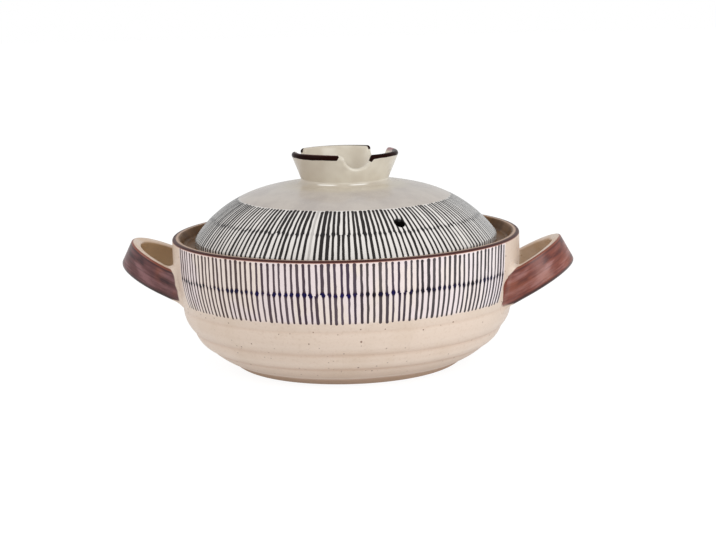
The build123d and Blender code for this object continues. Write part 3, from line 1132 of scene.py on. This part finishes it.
def add_cove(build):
    """Adds the cove that flares from the knob's foot into the dome, as a closed ring."""
    arc = np.radians(np.linspace(0, 90, COVE_STEPS))
    reach = COVE_FOOT_RADIUS - COVE_TOP_RADIUS
    outline = [(COVE_FOOT_RADIUS - reach * sin(a), land_z + COVE_HEIGHT * (1 - cos(a))) for a in arc]
    outline.append((COVE_TOP_RADIUS - COVE_OVERLAP, land_z + COVE_HEIGHT))
    outline.append((COVE_TOP_RADIUS - COVE_OVERLAP, land_z - COVE_SINK))
    outline.append((COVE_FOOT_RADIUS, land_z - COVE_SINK))
    rings = [
        [build.verts.new(Vector((radius * cos(a), radius * sin(a), height)) * MM) for a in TURN_ANGLES]
        for radius, height in outline
    ]
    for quad in quads_between(rings + rings[:1]):
        build.faces.new(quad)


def softened(piece):
    """The piece's mesh as one even skin with soft edges."""
    remesh = piece.modifiers.new("even_clay", "REMESH")
    remesh.mode = "VOXEL"
    remesh.voxel_size = KNOB_VOXEL * MM
    soften = piece.modifiers.new("soft_edges", "SMOOTH")
    soften.iterations = KNOB_SMOOTHING
    evaluated = piece.evaluated_get(bpy.context.evaluated_depsgraph_get())
    mesh = bpy.data.meshes.new_from_object(evaluated)
    piece.modifiers.clear()
    return mesh


def worn(places):
    """The knob's points, in millimetres, with the slope and the rise of its rim at the front notch."""
    turns = np.degrees(np.arctan2(places[:, 1], places[:, 0])) - FRONT_NOTCH_TURN
    start, end = NOTCH_SLOPE_TURNS
    share = np.clip((turns - start) / (end - start), 0, 1) * (turns < 0)
    rise = np.clip(1 - ((turns - RIM_RISE_TURN) / RIM_RISE_REACH) ** 2, 0, 1)
    high = np.clip((places[:, 2] - knob_top_z + NOTCH_SLOPE_HEIGHT) / NOTCH_SLOPE_HEIGHT, 0, 1)
    places[:, 2] -= NOTCH_SLOPE_DROP * share**2 * (3 - 2 * share) * high
    places[:, 2] += RIM_RISE * rise * high
    return places


def knob_piece():
    """The ring knob, joined to its cove, with softened edges and a hand-worn rim."""
    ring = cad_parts["lid_knob"].data.copy()
    build = bmesh.new()
    build.from_mesh(ring)
    bmesh.ops.remove_doubles(build, verts=build.verts, dist=KNOB_MERGE * MM)
    add_cove(build)
    bmesh.ops.recalc_face_normals(build, faces=build.faces)
    build.to_mesh(ring)
    build.free()
    piece = put("knob_ring", ring)
    piece.data = softened(piece)
    turned = Matrix.Rotation(radians(KNOB_TURN), 3, "Z")
    places = worn(np.array([turned @ vertex.co for vertex in piece.data.vertices]) / MM)
    piece.data.vertices.foreach_set("co", (askew(places) * MM).astype(np.float32).ravel())
    piece.data.materials.clear()
    piece.data.materials.append(knob_glaze())
    piece.data.shade_smooth()
    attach(piece, "lid")
    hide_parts("lid_knob")


knob_piece()

# Studio
WHITE = (1.0, 1.0, 1.0, 1.0)
FLOOR_GREY = (0.8, 0.8, 0.8, 1.0)
LIGHT_DISTANCE = 1700.0
FLOOR_SIZE = 9000.0
WORLD_STRENGTH = 0.72
FLOOR_WHITE_STRENGTH = 1.14
FLOOR_WHITE_SHARES = (0.3, 0.8)


def camera_mix(tree, unseen, seen, shares, output):
    """Mixes the second shader over the first, by one share for other rays and one for the camera's."""
    nodes, links = tree.nodes, tree.links
    share = nodes.new("ShaderNodeMapRange")
    share.inputs["To Min"].default_value, share.inputs["To Max"].default_value = shares
    links.new(nodes.new("ShaderNodeLightPath").outputs["Is Camera Ray"], share.inputs["Value"])
    mix = nodes.new("ShaderNodeMixShader")
    for socket, source in zip(mix.inputs, (share, unseen, seen)):
        links.new(source.outputs[0], socket)
    links.new(mix.outputs[0], nodes[output].inputs["Surface"])


def studio_floor():
    """A pale floor that shows white to the camera and keeps the pot's shadow."""
    half = FLOOR_SIZE / 2 * MM
    square = ((-half, -half, 0.0), (half, -half, 0.0), (half, half, 0.0), (-half, half, 0.0))
    mesh = bpy.data.meshes.new("studio_floor")
    mesh.from_pydata(square, [], [(0, 1, 2, 3)])
    floor = put("studio_floor", mesh)
    material = bpy.data.materials.new("studio_floor")
    material.use_nodes = True
    nodes = material.node_tree.nodes
    nodes.remove(nodes["Principled BSDF"])
    matte = nodes.new("ShaderNodeBsdfDiffuse")
    matte.inputs["Color"].default_value = FLOOR_GREY
    white = nodes.new("ShaderNodeEmission")
    white.inputs["Color"].default_value = WHITE
    white.inputs["Strength"].default_value = FLOOR_WHITE_STRENGTH
    camera_mix(material.node_tree, matte, white, FLOOR_WHITE_SHARES, "Material Output")
    mesh.materials.append(material)


def softbox(name, azimuth, elevation, size, power, tint):
    """A square lamp that looks at the pot. Azimuth 0 is the front, and 90 is the right."""
    lamp = bpy.data.lights.new(name, "AREA")
    lamp.shape = "SQUARE"
    lamp.size = size * MM
    lamp.energy = power
    lamp.color = tint
    holder = put(name, lamp)
    turn, rise = radians(azimuth), radians(elevation)
    back = Vector((sin(turn) * cos(rise), -cos(turn) * cos(rise), sin(rise)))
    holder.location = (back * LIGHT_DISTANCE + Vector(CAMERA_TARGET)) * MM
    holder.rotation_euler = back.to_track_quat("Z", "Y").to_euler()


def studio_world():
    """A white room all round."""
    world = bpy.data.worlds.new("studio_world")
    bpy.context.scene.world = world
    world.use_nodes = True
    nodes = world.node_tree.nodes
    room = nodes["Background"]
    room.inputs["Color"].default_value = WHITE
    room.inputs["Strength"].default_value = WORLD_STRENGTH
    backdrop = nodes.new("ShaderNodeBackground")
    backdrop.inputs["Color"].default_value = WHITE
    backdrop.inputs["Strength"].default_value = 1.0
    camera_mix(world.node_tree, room, backdrop, (0.0, 1.0), "World Output")


def axes(place, target):
    """The forward, right and up ways of an eye at this place that looks at this target."""
    forward = (target - place).normalized()
    right = forward.cross(Vector((0, 0, 1))).normalized()
    return forward, right, right.cross(forward)


def studio_camera():
    """The camera at the photograph's place, aim and roll."""
    place, target = Vector(CAMERA_PLACE), Vector(CAMERA_TARGET)
    _, right, up = axes(place, target)
    aim = target + right * CAMERA_AIM_SHIFT[0] + up * CAMERA_AIM_SHIFT[1]
    forward, right, up = axes(place, aim)
    roll = radians(CAMERA_ROLL)
    right, up = right * cos(roll) - up * sin(roll), up * cos(roll) + right * sin(roll)
    camera = bpy.data.cameras.new("studio_camera")
    camera.lens = CAMERA_LENS
    camera.sensor_width = CAMERA_SENSOR
    camera.clip_start = CAMERA_NEAR * MM
    holder = put("studio_camera", camera)
    turned = Matrix((right, up, -forward)).transposed().to_4x4()
    turned.translation = place * MM
    holder.matrix_world = turned
    bpy.context.scene.camera = holder


studio_floor()
studio_world()
softbox("softbox_left", azimuth=-71.0, elevation=35.0, size=900.0, power=5.6, tint=(1.0, 1.0, 1.0))
softbox("softbox_right", azimuth=50.0, elevation=24.0, size=1100.0, power=12.4, tint=(0.95, 0.98, 1.0))
studio_camera()
bpy.context.scene.view_settings.view_transform = "Standard"
